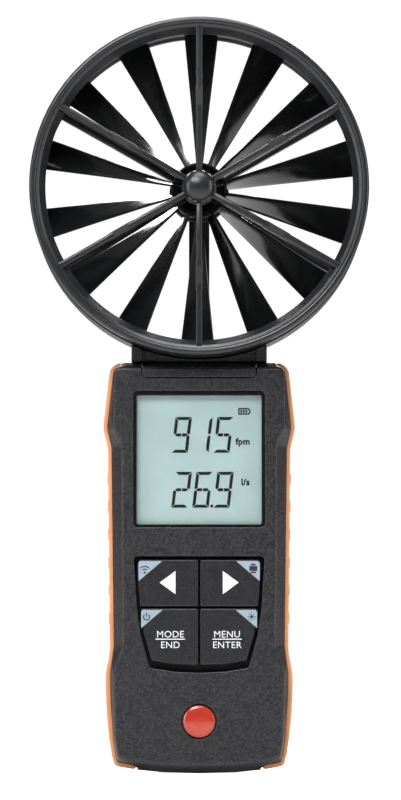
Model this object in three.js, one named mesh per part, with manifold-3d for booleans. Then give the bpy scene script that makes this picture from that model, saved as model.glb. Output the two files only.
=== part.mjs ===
// A hand-held vane anemometer: a caged 14-blade measuring wheel on a battery-powered display unit.
// Millimetres. +X is the instrument's right as its display is read, +Y points away from the
// reader and +Z up towards the wheel. The origin is under the middle of the housing's lower end.
import * as THREE from 'three';
import { mergeVertices } from 'three/addons/utils/BufferGeometryUtils.js';
import Module from 'manifold-3d';

const wasm = await Module();
wasm.setup();

// Driving dimensions
const GAP = 0.3; // clearance between neighbouring pieces
const FRONT = -15; // front face of the housing
const BACK = 23; // back face of the housing
const TOP = 127.1; // upper end of the housing
const PARTING = 1.5; // where the front shell ends; the rear shell starts one gap behind it
const WALL = 2.2; // housing wall

const RING_Z = 181.2; // height of the wheel's axis
const RING_R = 52.5; // outside of the wheel's duct
const THROAT_R = 50.5; // inside of the duct round the blades
const FRONT_LIP_R = 47.6; // narrowest place of the duct's funnel, in front of the blades
const REAR_LIP_R = 49.6;
const LIP_R = 1.1; // rounded bead round the duct's front rim
const RING_FRONT = -23;
const RING_BACK = 11;
const RING_SEAM = -8; // where the two halves of the duct meet

const STRUTS = 6;
const STRUT_W = 2.1;
const LEAD_STRUT_W = 6.4; // the rear strut that leads the sensor wires down
const BALL_R = 4.7;
const BALL_Y = -18.2;
const BOSS_R = 5.4;
const POD_R = 9.3;

const BLADES = 14;
const BLADE_TIP_R = 50;
const BLADE_ROOT_R = 9;
const BLADE_DEPTH = 10; // along the axis
const BLADE_TWIST = THREE.MathUtils.degToRad(12.4); // turn of the helicoid over its depth
const BLADE_START = THREE.MathUtils.degToRad(89.3); // place of the first blade, counted like the struts
const BLADE_T = 0.7;
const BLADE_Y = -5; // middle of the blades
const HUB_R = 8.7;
const SHAFT_R = 1;
const BORE_R = SHAFT_R + GAP;
const JEWEL_R = 2.6; // outside of the two bearings

const WAIST = 28.25; // half-widths of the housing, with its grips
const SHOULDER_FLARE = 1.5;
const FOOT_FLARE = 1.45;
const PANEL_WAIST = 23.6; // half-widths of the raised front panel
const PANEL_SHOULDER = 26.7;
const PANEL_FOOT = 26.4;
const PANEL_TOP = 125.3;
const FLANK_W = 3.5; // the sloping border of the panel, seen from the front
const FLANK_DEPTH = 5.5;

const GRIP_T = 1.5; // thickness of the soft grips
const GRIP_FRONT = -9.2;
const GRIP_BACK = 9;
const GRIP_TOP_END = 24; // where a grip ends on the upper and on the lower edge
const GRIP_FOOT_END = 19.5;
const MIDDLE = 64; // a height that parts the upper half of the housing from the lower one
const BUMP = { count: 6, first: 48, pitch: 8.6, length: 2.6, height: 0.8 };

const SCREEN = { half: 20.3, bottom: 75.9, top: 118, corner: 1.5 };
const KEYS = { half: 19.3, middle: 0.3, upper: 51.4, lower: 50.8 }; // rows part between lower and upper
const KEY_FRONT = -14.6;
const KEY_BACK = -11.2;
const KEY_MARGIN = 1; // gap round the keys
const BADGE = { r: 5.1, z: 16, depth: 0.9 };

const NECK_HALF = 21;
const TONGUE_HALF = 17.6;
const NECK_FRONT = -12;
const NECK_BACK = 8;
const NECK_FOOT = 122.3;

const DOOR = { half: 24.2, bottom: 5, top: 76, inner: 20.7 }; // inner: its inside face
const LATCH = { half: 6, thick: 1.2, reach: 3 }; // tongue on the upper edge of the door
const BAY = { half: 22.6, bottom: 14.5, top: 71.5 }; // room for the cells
const CELL_R = 7.2;
const CELL_L = 49;
const CELL_Z = 42.5;
const CELL_Y = 12.6;
const SCREWS = [[21.3, 121], [22.6, 83]];
const SCREW_BOSS_R = 2.3;
const SCREW_HOLE_R = 1.5;
const SCREW_SEAT = 17.6; // the heads sit in wells from here back

// Materials
const plastic = (color, roughness) => new THREE.MeshStandardMaterial({ color, roughness, metalness: 0 });
const metal = (color, roughness) => new THREE.MeshStandardMaterial({ color, roughness, metalness: 1 });
const charcoal = plastic(0x2b2c30, 0.6);
const ductGrey = plastic(0x2f3134, 0.5);
const bladeBlack = plastic(0x0f1012, 0.2);
const orange = plastic(0xeba268, 0.6);
const keyBlack = plastic(0x1d1e21, 0.55);
const lcdGreen = plastic(0xb2cdcc, 0.3);
const clear = plastic(0xdfe8ea, 0.05);
clear.transparent = true;
clear.opacity = 0.3;
const boardGreen = plastic(0x1f5a3a, 0.5);
const white = plastic(0xe8e8e4, 0.5);
const badgeRed = plastic(0xbf3f1f, 0.3);
const silicone = plastic(0x151618, 0.7);
const steel = metal(0xb9bcc0, 0.3);
const brass = metal(0xc9a55a, 0.3);
const cellSleeve = plastic(0x3f4b57, 0.35);

// Solids. A closed geometry becomes a solid that can be cut and joined, and comes back as a mesh.
function solid(geometry) {
  const bare = geometry.clone();
  bare.deleteAttribute('normal');
  bare.deleteAttribute('uv');
  const merged = mergeVertices(bare, 1e-4);
  return new wasm.Manifold(new wasm.Mesh({
    numProp: 3,
    vertProperties: new Float32Array(merged.attributes.position.array),
    triVerts: new Uint32Array(merged.index.array),
  }));
}

function geometryOf(body) {
  const { vertProperties, triVerts } = body.getMesh();
  const geometry = new THREE.BufferGeometry();
  geometry.setAttribute('position', new THREE.BufferAttribute(vertProperties, 3));
  geometry.setIndex(new THREE.BufferAttribute(triVerts, 1));
  geometry.computeVertexNormals();
  return geometry;
}

// An outline drawn in x and z, with its thickness from yFront to yBack.
function slab(shape, yFront, yBack, curveSegments = 6) {
  const depth = yBack - yFront;
  const geometry = new THREE.ExtrudeGeometry(shape, { depth, bevelEnabled: false, curveSegments });
  return solid(geometry.rotateX(Math.PI / 2).translate(0, yBack, 0));
}

// A profile drawn in y and z, with its width from xLeft to xRight.
function bar(points, xLeft, xRight) {
  const shape = new THREE.Shape(points.map(([y, z]) => new THREE.Vector2(y, z)));
  const geometry = new THREE.ExtrudeGeometry(shape, { depth: xRight - xLeft, bevelEnabled: false });
  geometry.rotateX(Math.PI / 2).rotateZ(Math.PI / 2);
  return solid(geometry.translate(xLeft, 0, 0));
}

function box(x0, x1, y0, y1, z0, z1) {
  const geometry = new THREE.BoxGeometry(x1 - x0, y1 - y0, z1 - z0);
  return solid(geometry.translate((x0 + x1) / 2, (y0 + y1) / 2, (z0 + z1) / 2));
}

// A profile of [radius, y] points turned about the Y axis, in either order.
function turned(points, segments) {
  const profile = points.map(([r, y]) => new THREE.Vector2(r, y));
  if (THREE.ShapeUtils.area(profile) < 0) {
    profile.reverse();
  }
  return new THREE.LatheGeometry([...profile, profile[0]], segments);
}

// A disc or rod along Y.
function rod(r, y0, y1, x = 0, z = 0, segments = 20) {
  const geometry = new THREE.CylinderGeometry(r, r, y1 - y0, segments);
  return solid(geometry.translate(x, (y0 + y1) / 2, z));
}

// [radius, y] points of an arc in a turned profile; angles in degrees from the radial direction.
function arc(r, y, radius, from, to, steps) {
  return Array.from({ length: steps + 1 }, (_, i) => {
    const angle = THREE.MathUtils.degToRad(from + (to - from) * i / steps);
    return [r + radius * Math.cos(angle), y + radius * Math.sin(angle)];
  });
}

const ramp = (z, from, to) => THREE.MathUtils.smoothstep(z, from, to);

// The instrument is a group of named pieces
const instrument = new THREE.Group();
instrument.name = 'vane_anemometer';
const wheel = new THREE.Group(); // everything centred on the wheel's axis
wheel.position.z = RING_Z;
instrument.add(wheel);

function add(name, geometry, material, parent = instrument) {
  const mesh = new THREE.Mesh(geometry, material);
  mesh.name = name;
  parent.add(mesh);
  return mesh;
}

// Duct: two turned halves
function duct() {
  const front = [
    ...arc(RING_R - LIP_R, RING_FRONT + LIP_R, LIP_R, 0, -180, 6),
    [RING_R - 3.2, RING_FRONT + 2],
    [FRONT_LIP_R, RING_FRONT + 5],
    [FRONT_LIP_R, RING_FRONT + 6.2],
    [THROAT_R, RING_FRONT + 8],
    [THROAT_R, RING_SEAM],
    [RING_R - 0.8, RING_SEAM],
    [RING_R - 0.8, RING_FRONT + 5],
    [RING_R, RING_FRONT + 4.2],
  ];
  const rear = [
    [RING_R, RING_BACK - 1],
    [RING_R, RING_SEAM + GAP],
    [THROAT_R, RING_SEAM + GAP],
    [THROAT_R, RING_BACK - 3.6],
    [REAR_LIP_R, RING_BACK - 2.6],
    [REAR_LIP_R, RING_BACK - 0.6],
    [REAR_LIP_R + 0.6, RING_BACK],
    [RING_R - 1, RING_BACK],
  ];
  add('duct_front', turned(front, 72), ductGrey, wheel);
  add('duct_rear', turned(rear, 72), ductGrey, wheel);
}

// A strut of a guard: its side is drawn along the radius and the axis, then turned to its angle.
function strut(name, side, width, angle) {
  const shape = new THREE.Shape(side.map(([r, y]) => new THREE.Vector2(r, y)));
  const rim = 0.4; // rounding of the long edges
  const geometry = new THREE.ExtrudeGeometry(shape, {
    depth: width - 2 * rim,
    bevelThickness: rim,
    bevelSize: rim,
    bevelOffset: -rim,
    bevelSegments: 1,
  });
  geometry.translate(0, 0, rim - width / 2);
  const mesh = add(name, geometry, ductGrey, wheel);
  mesh.rotation.y = -angle;
}

function guards() {
  const front = [
    [BALL_R + GAP, -21.2],
    [RING_R - 3.6, -21.1],
    [FRONT_LIP_R - 0.4, -18],
    [FRONT_LIP_R - 0.4, -16],
    [BOSS_R + 0.4, -16],
    [BALL_R + GAP, -19],
  ];
  const rear = [
    [POD_R + GAP, 2],
    [THROAT_R - GAP, 2],
    [THROAT_R - GAP, 3],
    [REAR_LIP_R - 0.4, 4.1],
    [REAR_LIP_R - 0.4, 5],
    [POD_R + GAP, 6],
  ];
  for (let i = 0; i < STRUTS; i += 1) {
    const angle = (i + 0.5) * 2 * Math.PI / STRUTS; // counted up from the right-hand side
    const down = Math.abs(angle - 1.5 * Math.PI) < 0.01;
    strut(`guard_strut_front_${i + 1}`, front, STRUT_W, angle);
    if (down) {
      strut('guard_strut_lead', rear, LEAD_STRUT_W, angle);
    } else {
      strut(`guard_strut_rear_${i + 1}`, rear, STRUT_W, angle);
    }
  }
}

// Front boss with its ball nose and the seat of the front bearing
function nose() {
  const rise = Math.acos(4.2 / BALL_R);
  const ball = arc(0, BALL_Y, BALL_R, -90, THREE.MathUtils.radToDeg(rise) - 30, 6);
  const profile = [
    ...ball,
    [BOSS_R, -16.6],
    [BOSS_R, -12.8],
    [JEWEL_R + GAP, -12.8],
    [JEWEL_R + GAP, -15.8],
    [0, -15.8],
  ];
  add('guard_nose', turned(profile, 24), ductGrey, wheel);
}

// Rear pod that carries the rear bearing and the pickup coil
const PICKUP = { r: 1.5, x: 6 };

function pod() {
  const profile = [
    [0, 5.2],
    [JEWEL_R + GAP, 5.2],
    [JEWEL_R + GAP, 1.8],
    [POD_R, 1.8],
    [POD_R, 5.4],
    [POD_R - 1.6, 6.8],
    [0, 7.4],
  ];
  const hole = rod(PICKUP.r + GAP, 1, 5.4, PICKUP.x);
  add('sensor_pod', geometryOf(solid(turned(profile, 32)).subtract(hole)), ductGrey, wheel);
  const coil = new THREE.CylinderGeometry(PICKUP.r, PICKUP.r, 3, 16);
  add('pickup_coil', coil.translate(PICKUP.x, 3.6, 0), brass, wheel);
}

function bearings() {
  const ringOf = (y0, y1) => turned([[JEWEL_R, y0], [JEWEL_R, y1], [BORE_R, y1], [BORE_R, y0]], 20);
  add('bearing_front', ringOf(-15.5, -13), brass, wheel);
  add('bearing_rear', ringOf(2, 4.4), brass, wheel);
}

// Wheel: shaft, ribbed hub and 14 helicoid blades
function rotor() {
  const shaft = new THREE.CylinderGeometry(SHAFT_R, SHAFT_R, 20.2, 16);
  add('rotor_shaft', shaft.translate(0, -5.3, 0), steel, wheel);
  const rim = HUB_R - 0.9;
  const profile = [
    [BORE_R, -11.4],
    [3.2, -11.4],
    [3.4, -1.2],
    [rim, -1.2],
    [rim, -7.4],
    [HUB_R, -7.4],
    [HUB_R, 0],
    [BORE_R, 0.6],
  ];
  const hub = solid(turned(profile, 42));
  const rib = box(3, HUB_R - 0.4, -6.4, -0.6, -0.4, 0.4);
  const ribs = Array.from({ length: BLADES / 2 }, (_, i) => rib.rotate([0, i * 720 / BLADES, 0]));
  add('rotor_hub', geometryOf(ribs.reduce((sum, one) => sum.add(one), hub)), bladeBlack, wheel);

  const length = BLADE_TIP_R - BLADE_ROOT_R;
  const blade = new THREE.BoxGeometry(length, BLADE_DEPTH, BLADE_T, 4, 2, 1);
  const point = new THREE.Vector3();
  const at = blade.attributes.position;
  for (let i = 0; i < at.count; i += 1) {
    point.fromBufferAttribute(at, i);
    const r = BLADE_ROOT_R + length / 2 + point.x;
    const turn = BLADE_TWIST * point.y / BLADE_DEPTH;
    const lean = Math.atan(r * BLADE_TWIST / BLADE_DEPTH);
    const angle = turn + point.z * Math.cos(lean) / r;
    at.setXYZ(i, r * Math.cos(angle), BLADE_Y + point.y - point.z * Math.sin(lean), r * Math.sin(angle));
  }
  blade.computeVertexNormals();
  for (let i = 0; i < BLADES; i += 1) {
    const mesh = add(`rotor_blade_${String(i + 1).padStart(2, '0')}`, blade, bladeBlack, wheel);
    mesh.rotation.y = -(BLADE_START + i * 2 * Math.PI / BLADES);
  }
}

// Outline of the housing with its grips on, drawn smaller all round by inset
function halfWidth(z) {
  const shoulder = SHOULDER_FLARE * ramp(z, 99, 107.5) - 0.11 * Math.max(0, z - 107.5);
  const foot = FOOT_FLARE * (1 - ramp(z, 29, 39.5)) - Math.max(0, 28.5 - z) ** 2 / 330;
  const taper = 0.011 * Math.max(0, 95 - z);
  return WAIST + shoulder + foot - taper;
}

const SIDE_STEPS = [117, 108, 106, 104, 102, 99, 95, 40, 36, 32, 26, 18, 11, 6];

function housingOutline(inset = 0, bumps = false) {
  const foot = halfWidth(2.2) - inset;
  const bottom = [
    [0, inset],
    [11, inset + 0.3],
    [19.5 - 0.4 * inset, inset + 1.1],
    [foot - 2.4, inset + 1.9],
    [foot - 0.7, inset + 2.9],
  ];
  const side = SIDE_STEPS.filter((z) => z > inset + 3.5).map((z) => [halfWidth(z) - inset, z]);
  for (let i = 0; bumps && i < BUMP.count; i += 1) {
    const z = BUMP.first + i * BUMP.pitch;
    const edge = halfWidth(z) - inset;
    const half = BUMP.length / 2;
    side.push([edge, z - half], [edge, z + half]);
    side.push([edge + BUMP.height, z - half / 2], [edge + BUMP.height, z + half / 2]);
  }
  side.sort((a, b) => a[1] - b[1]);
  const corner = 4 - inset / 2;
  const top = arc(halfWidth(TOP - 4) - inset - corner, TOP - inset - corner, corner, 0, 90, 4);
  return mirrored([...bottom, ...side, ...top]);
}

// A shape with the same outline on both sides of x = 0, from the points of its right half
function mirrored(points) {
  const right = points.map(([x, z]) => new THREE.Vector2(x, z));
  const left = right.slice(1).reverse().map((p) => new THREE.Vector2(-p.x, p.y));
  return new THREE.Shape([...right, ...left]);
}

// Outline of the raised front panel, drawn smaller all round by inset
function panelOutline(inset = 0) {
  return mirrored([
    [0, 2.7 + inset],
    [12, 3 + inset],
    [22.2 - inset, 4 + inset],
    [24.9 - inset, 6 + inset],
    [PANEL_FOOT - 0.5 - inset, 11],
    [PANEL_FOOT - inset, 32.2],
    [PANEL_WAIST - inset, 38.8],
    [PANEL_WAIST + 0.3 - inset, 101.7],
    [PANEL_SHOULDER - inset, 107.3],
    [PANEL_SHOULDER - 0.2 - inset, PANEL_TOP - 2.5 - inset],
    [PANEL_SHOULDER - 2 - inset, PANEL_TOP - inset],
  ]);
}

// The side strip that a grip fills, from one inset to another
function sideStrip(outer, inner, yFront, yBack, clearance, bumps) {
  const top = GRIP_TOP_END - clearance;
  const foot = GRIP_FOOT_END - clearance;
  return slab(housingOutline(outer, bumps), yFront, yBack)
    .subtract(slab(housingOutline(inner), yFront - 1, yBack + 1))
    .subtract(box(-top, top, yFront - 1, yBack + 1, MIDDLE, TOP + 9))
    .subtract(box(-foot, foot, yFront - 1, yBack + 1, -9, MIDDLE));
}

function grips() {
  const both = sideStrip(0, GRIP_T, GRIP_FRONT, GRIP_BACK, 0, true);
  const half = (x0, x1) => geometryOf(both.intersect(box(x0, x1, -20, 20, -9, TOP + 9)));
  add('grip_left', half(-40, 0), orange);
  add('grip_right', half(0, 40), orange);
}

// Outline of the keypad opening, and of a key, both drawn smaller by inset
function keypadOutline(inset) {
  const outer = KEYS.half + KEY_MARGIN - inset;
  return mirrored([
    [0, 31 + 2.2 * inset],
    [8, 31.4 + 2.2 * inset],
    [15.3 - inset / 2, 32.6 + 2 * inset],
    [outer - 2.2, 43],
    [outer - 1.1, 51],
    [outer - 0.1, 65.4 - inset],
    [outer - 0.9, 66.9 - inset],
  ]);
}

function rounded(half, bottom, top, radius) {
  const shape = new THREE.Shape();
  shape.moveTo(-half + radius, bottom);
  shape.absarc(half - radius, bottom + radius, radius, -Math.PI / 2, 0);
  shape.absarc(half - radius, top - radius, radius, 0, Math.PI / 2);
  shape.absarc(-half + radius, top - radius, radius, Math.PI / 2, Math.PI);
  shape.absarc(-half + radius, bottom + radius, radius, Math.PI, 1.5 * Math.PI);
  return shape;
}

// Neck: a saddle under the duct, a foot held in the housing and a tongue let into its front
function neckBlock(gap) {
  const half = TONGUE_HALF + gap;
  const foot = box(-half, half, NECK_FRONT - gap, NECK_BACK + gap, NECK_FOOT - gap, TOP + 8);
  const tongue = bar([
    [FRONT - 2 * gap, NECK_FOOT - gap],
    [FRONT - 2 * gap, PANEL_TOP],
    [FRONT + FLANK_DEPTH, TOP + 2 * gap],
    [FRONT + FLANK_DEPTH, NECK_FOOT - gap],
  ], -half, half);
  const hollow = box(-half + 2, half - 2, FRONT + 1.6, NECK_FRONT + 1, NECK_FOOT - 2, PANEL_TOP - 2);
  return foot.add(gap ? tongue : tongue.subtract(hollow));
}

function neck() {
  const wings = box(-NECK_HALF, NECK_HALF, NECK_FRONT, NECK_BACK, TOP + GAP, TOP + 7);
  const hook = box(-12, 12, NECK_BACK - 1, NECK_BACK + 3, NECK_FOOT, NECK_FOOT + 3.4);
  const recess = box(-TONGUE_HALF, TONGUE_HALF, -30, NECK_FRONT + 1.6, TOP + 0.4, TOP + 9);
  const saddle = rod(RING_R + GAP, -40, 40, 0, RING_Z, 72);
  const body = neckBlock(0).add(wings).add(hook).subtract(recess).subtract(saddle);
  add('neck', geometryOf(body), charcoal);
}

// Front shell: raised panel, openings for display, keys, tongue and badge, and four screw posts
function screwPlaces() {
  return SCREWS.flatMap(([x, z]) => [[-x, z], [x, z]]);
}

function frontShell() {
  const bevelled = new THREE.ExtrudeGeometry(panelOutline(), {
    depth: 10,
    bevelThickness: FLANK_DEPTH,
    bevelSize: FLANK_W,
    bevelSegments: 1,
  });
  bevelled.rotateX(Math.PI / 2).translate(0, FRONT + FLANK_DEPTH + 10, 0);
  const edge = FRONT + FLANK_DEPTH;
  const outside = solid(bevelled)
    .intersect(slab(housingOutline(), FRONT - 1, edge))
    .add(slab(housingOutline(), edge, PARTING));
  const inside = slab(panelOutline(WALL), FRONT + WALL, PARTING)
    .add(slab(housingOutline(WALL + GRIP_T + GAP), edge + 0.8, PARTING + 1));
  const screen = rounded(SCREEN.half, SCREEN.bottom, SCREEN.top, SCREEN.corner);
  let shell = outside
    .subtract(inside)
    .subtract(sideStrip(-3, GRIP_T + GAP, FRONT - 2, GRIP_BACK + GAP, GAP, false))
    .subtract(slab(screen, FRONT - 1, FRONT + 3, 3))
    .subtract(slab(keypadOutline(0), FRONT - 1, FRONT + 3))
    .subtract(rod(BADGE.r + GAP, FRONT - 1, FRONT + BADGE.depth, 0, BADGE.z, 32));
  for (const [x, z] of screwPlaces()) {
    shell = shell.add(rod(SCREW_BOSS_R, FRONT + WALL - 0.5, PARTING, x, z, 14));
  }
  shell = shell.intersect(outside).subtract(neckBlock(GAP));
  for (const [x, z] of screwPlaces()) {
    shell = shell.subtract(rod(SCREW_HOLE_R, -6, PARTING + 1, x, z, 10));
  }
  add('shell_front', geometryOf(shell), charcoal);
}

// Rear shell: rounded back, battery bay behind a sliding door, screw wells
function rearOutside() {
  const round = 5;
  const spare = 0.15; // the rounding starts just outside the sides, which then cut it cleanly
  const start = PARTING + GAP;
  const rounding = new THREE.ExtrudeGeometry(housingOutline(round), {
    depth: 20,
    bevelThickness: round,
    bevelSize: round + spare,
    bevelSegments: 4,
  });
  rounding.rotateX(Math.PI / 2).translate(0, BACK - round, 0);
  const low = arc(BACK - 15, 15, 15, -90, 0, 6); // long rounding towards the lower end
  const high = arc(BACK - 8, TOP - 8, 8, 0, 90, 4);
  const side = bar([[start, 0], ...low, ...high, [start, TOP]], -40, 40);
  return solid(rounding).intersect(slab(housingOutline(), start, BACK + 1)).intersect(side);
}

function doorBlock(gap) {
  const half = DOOR.half + gap;
  const bottom = DOOR.bottom - 20 * gap;
  return box(-half, half, DOOR.inner - gap, BACK + 5, bottom, DOOR.top + gap);
}

function doorLatch(gap) {
  const half = LATCH.half + gap;
  const { thick, reach } = LATCH;
  return box(-half, half, DOOR.inner - gap, DOOR.inner + thick + gap, DOOR.top - 1, DOOR.top + reach + gap);
}

function rearShell() {
  const outside = rearOutside();
  const inset = WALL + GRIP_T + GAP;
  const inside = slab(housingOutline(inset), 0, 12)
    .add(box(-BAY.half + 0.9, BAY.half - 0.9, 0, DOOR.inner - GAP - WALL, BAY.bottom, TOP - 6));
  let shell = outside
    .subtract(inside)
    .subtract(sideStrip(-3, GRIP_T + GAP, 0, GRIP_BACK + GAP, GAP, false))
    .subtract(doorBlock(GAP))
    .subtract(box(-BAY.half, BAY.half, 0, BACK + 1, BAY.bottom, BAY.top))
    .subtract(doorLatch(GAP))
    .subtract(neckBlock(GAP))
    .subtract(box(-12.3, 12.3, NECK_BACK, NECK_BACK + 3.3, NECK_FOOT - 1, NECK_FOOT + 3.7));
  for (const [x, z] of screwPlaces()) {
    const post = rod(SCREW_BOSS_R, PARTING + GAP, SCREW_SEAT + 1.4, x, z, 14);
    shell = shell.add(post.intersect(outside));
  }
  for (const [x, z] of screwPlaces()) {
    shell = shell
      .subtract(rod(2.6, SCREW_SEAT, BACK + 1, x, z, 16))
      .subtract(rod(SCREW_HOLE_R, 0, BACK, x, z, 10));
  }
  add('shell_rear', geometryOf(shell), charcoal);
}

function batteryDoor() {
  const plate = rearOutside().intersect(doorBlock(0));
  add('battery_door', geometryOf(plate.add(doorLatch(0))), charcoal);
}

function cells() {
  const profile = [
    [0, -CELL_L / 2],
    [CELL_R - 0.6, -CELL_L / 2],
    [CELL_R, -CELL_L / 2 + 0.6],
    [CELL_R, CELL_L / 2 - 1.2],
    [CELL_R - 1, CELL_L / 2 - 0.6],
    [2.7, CELL_L / 2 - 0.6],
    [2.7, CELL_L / 2 + 1],
    [0, CELL_L / 2 + 1],
  ];
  const cell = turned(profile, 24);
  for (let i = 0; i < 3; i += 1) {
    const mesh = add(`battery_cell_${i + 1}`, cell, cellSleeve);
    mesh.position.set((i - 1) * (2 * CELL_R + GAP), CELL_Y, CELL_Z);
    mesh.rotation.x = i % 2 ? -Math.PI / 2 : Math.PI / 2;
  }
}

// Cradle between the cells and the electronics, with a ridge under each pair of cells
function batteryTray() {
  const ridge = (x) => [[x - 2, 4.6], [x, 7.4], [x + 2, 4.6]];
  const half = BAY.half - 0.4;
  const between = CELL_R + GAP / 2;
  const top = [...ridge(-between), ...ridge(between)].reverse();
  const points = [[-half, 3.2], [half, 3.2], [half, 4.6], ...top, [-half, 4.6]];
  const shape = new THREE.Shape(points.map(([x, y]) => new THREE.Vector2(x, y)));
  const geometry = new THREE.ExtrudeGeometry(shape, { depth: 52, bevelEnabled: false });
  add('battery_tray', geometry.translate(0, 0, BAY.bottom + 2), charcoal);
  add('contact_plate', new THREE.BoxGeometry(40, 8, 0.8).translate(0, CELL_Y, 15.2), steel);
}

// Display, electronics and keys, from the front towards the back
function displayStack() {
  function layer(half, y0, y1, bottom, top, corner) {
    return geometryOf(slab(rounded(half, bottom, top, corner), y0, y1, 2));
  }
  const { half, bottom, top } = SCREEN;
  add('display_window', layer(half - GAP, -14.2, -13, bottom + GAP, top - GAP, 1.2), clear);
  add('lcd_panel', layer(half - 0.6, -12.6, -10.8, bottom + 0.6, top - 0.6, 0.5), lcdGreen);
  add('lcd_backlight', layer(half - 1, -10.4, -7.8, bottom + 1, top - 1, 0.5), white);
  add('main_board', layer(19, -6, -4.4, 24, 117.5, 1), boardGreen);
}

function keypad() {
  const whole = slab(keypadOutline(KEY_MARGIN), KEY_FRONT, KEY_BACK);
  const field = (x0, x1, z0, z1) => geometryOf(whole.intersect(box(x0, x1, -20, 0, z0, z1)));
  const m = KEYS.middle;
  add('key_left', field(-30, -m, KEYS.upper, 90), keyBlack);
  add('key_right', field(m, 30, KEYS.upper, 90), keyBlack);
  add('key_mode', field(-30, -m, 0, KEYS.lower), keyBlack);
  add('key_menu', field(m, 30, 0, KEYS.lower), keyBlack);
  const mat = slab(keypadOutline(-0.8), -9.4, -8);
  const places = [[-10, 58.5], [10, 58.5], [-9, 42.5], [9, 42.5]];
  const domes = places.map(([x, z]) => rod(3.4, -10.1, -9, x, z, 16));
  add('key_mat', geometryOf(domes.reduce((sum, dome) => sum.add(dome), mat)), silicone);
}

function badge() {
  const profile = [[0, FRONT - 0.5], [3, FRONT - 0.4], [BADGE.r - 0.4, FRONT], [BADGE.r, FRONT + 0.3]];
  const base = FRONT + BADGE.depth - GAP;
  const mesh = add('badge', turned([...profile, [BADGE.r, base], [0, base]], 32), badgeRed);
  mesh.position.z = BADGE.z;
}

function screws() {
  const head = SCREW_SEAT + GAP;
  const end = head + 1.8;
  const profile = [[0, -2], [1.1, -2], [1.1, head], [2.2, head], [2.2, end - 0.5], [1.6, end], [0, end]];
  const screw = turned(profile, 12);
  screwPlaces().forEach(([x, z], i) => {
    const mesh = add(`housing_screw_${i + 1}`, screw, steel);
    mesh.position.set(x, 0, z);
  });
}

duct();
guards();
nose();
pod();
bearings();
rotor();
neck();
frontShell();
rearShell();
grips();
displayStack();
keypad();
badge();
batteryDoor();
batteryTray();
cells();
screws();

export default instrument;
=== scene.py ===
"""Looks of a hand-held vane anemometer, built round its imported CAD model.

Sizes are in millimetres and become metres as each mesh is made. +X is the reader's right,
+Y points away from the reader and +Z up. Outlines are drawn in x and z, as seen from the front.
"""
import math

import bmesh
import bpy
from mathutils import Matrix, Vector
from mathutils.geometry import tessellate_polygon


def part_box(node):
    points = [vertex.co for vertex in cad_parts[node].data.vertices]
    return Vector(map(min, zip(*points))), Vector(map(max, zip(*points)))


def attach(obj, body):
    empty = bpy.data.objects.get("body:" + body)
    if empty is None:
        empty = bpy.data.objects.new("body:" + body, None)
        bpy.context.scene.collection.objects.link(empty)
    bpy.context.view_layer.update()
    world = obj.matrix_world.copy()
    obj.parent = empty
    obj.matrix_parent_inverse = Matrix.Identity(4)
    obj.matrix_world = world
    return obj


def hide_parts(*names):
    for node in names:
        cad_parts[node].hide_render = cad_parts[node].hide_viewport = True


MM = 0.001
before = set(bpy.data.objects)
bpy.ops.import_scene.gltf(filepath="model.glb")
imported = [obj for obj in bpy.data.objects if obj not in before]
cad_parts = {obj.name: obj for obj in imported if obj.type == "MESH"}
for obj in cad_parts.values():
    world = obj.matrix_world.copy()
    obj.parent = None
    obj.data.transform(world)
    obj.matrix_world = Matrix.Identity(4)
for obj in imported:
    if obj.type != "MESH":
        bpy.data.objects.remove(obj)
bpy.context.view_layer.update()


def node_box(node):
    """Lowest and highest corner of a CAD node, in millimetres."""
    low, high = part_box(node)
    return low / MM, high / MM


# ---------------------------------------------------------------- driving dimensions, from the frame
duct_low, duct_high = node_box("duct_front")
back_low, back_high = node_box("duct_rear")
shell_low, shell_high = node_box("shell_front")
body_high = node_box("shell_rear")[1]
grip_low, grip_high = node_box("grip_right")
lcd_low, lcd_high = node_box("lcd_panel")
window_low, window_high = node_box("display_window")
key_low, key_high = node_box("key_right")
menu_low, menu_high = node_box("key_menu")
badge_low, badge_high = node_box("badge")
neck_low, neck_high = node_box("neck")
hub_low = node_box("rotor_hub")[0]
blade_low, blade_high = node_box("rotor_blade_01")
nose_low, nose_high = node_box("guard_nose")
pod_low = node_box("sensor_pod")[0]

GAP = 0.3
RIM_R = (duct_high.x - duct_low.x) / 2
RIM_FRONT = duct_low.y
SEAM = duct_high.y
RING_R = (back_high.x - back_low.x) / 2
RING_BACK = back_high.y
AXIS_Z = (back_low.z + back_high.z) / 2
THROAT_R = 50.5
FRONT_LIP_R = 47.6
REAR_LIP_R = 49.6
LIP_R = 1.1

BLADES = 14
BLADE_TIP_R = 50
BLADE_ROOT_R = 8.2
BLADE_Y = (blade_low.y + blade_high.y) / 2
BLADE_DEPTH = 10
BLADE_TWIST = math.radians(12.4)
BLADE_START = math.radians(89.3)
HUB_R = 8.7
BALL_R = 4.5
BOSS_R = 5.4
POD_R = 9.3

FRONT = shell_low.y
PARTING = shell_high.y
TOP = body_high.z
WAIST = 28.25
SHOULDER_FLARE = 1.5
FOOT_FLARE = 1.45
PANEL_WAIST = 23.6
PANEL_SHOULDER = 26.7
PANEL_FOOT = 26.4
PANEL_TOP = 125.3
FLANK_W = 3.5
FLANK_DEPTH = 5.5
FLANK_BACK = FRONT + FLANK_DEPTH
LAP_BACK = FLANK_BACK + 0.35
RIM_WALL = 2
GRIP_T = 1.5
GRIP_TOP_END = 24
GRIP_FOOT_END = 19.5
BUMPS = 6
BUMP_FIRST = 48
BUMP_PITCH = 8.6
BUMP_HALF = 2.2
BUMP_HEIGHT = 0.8

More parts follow.
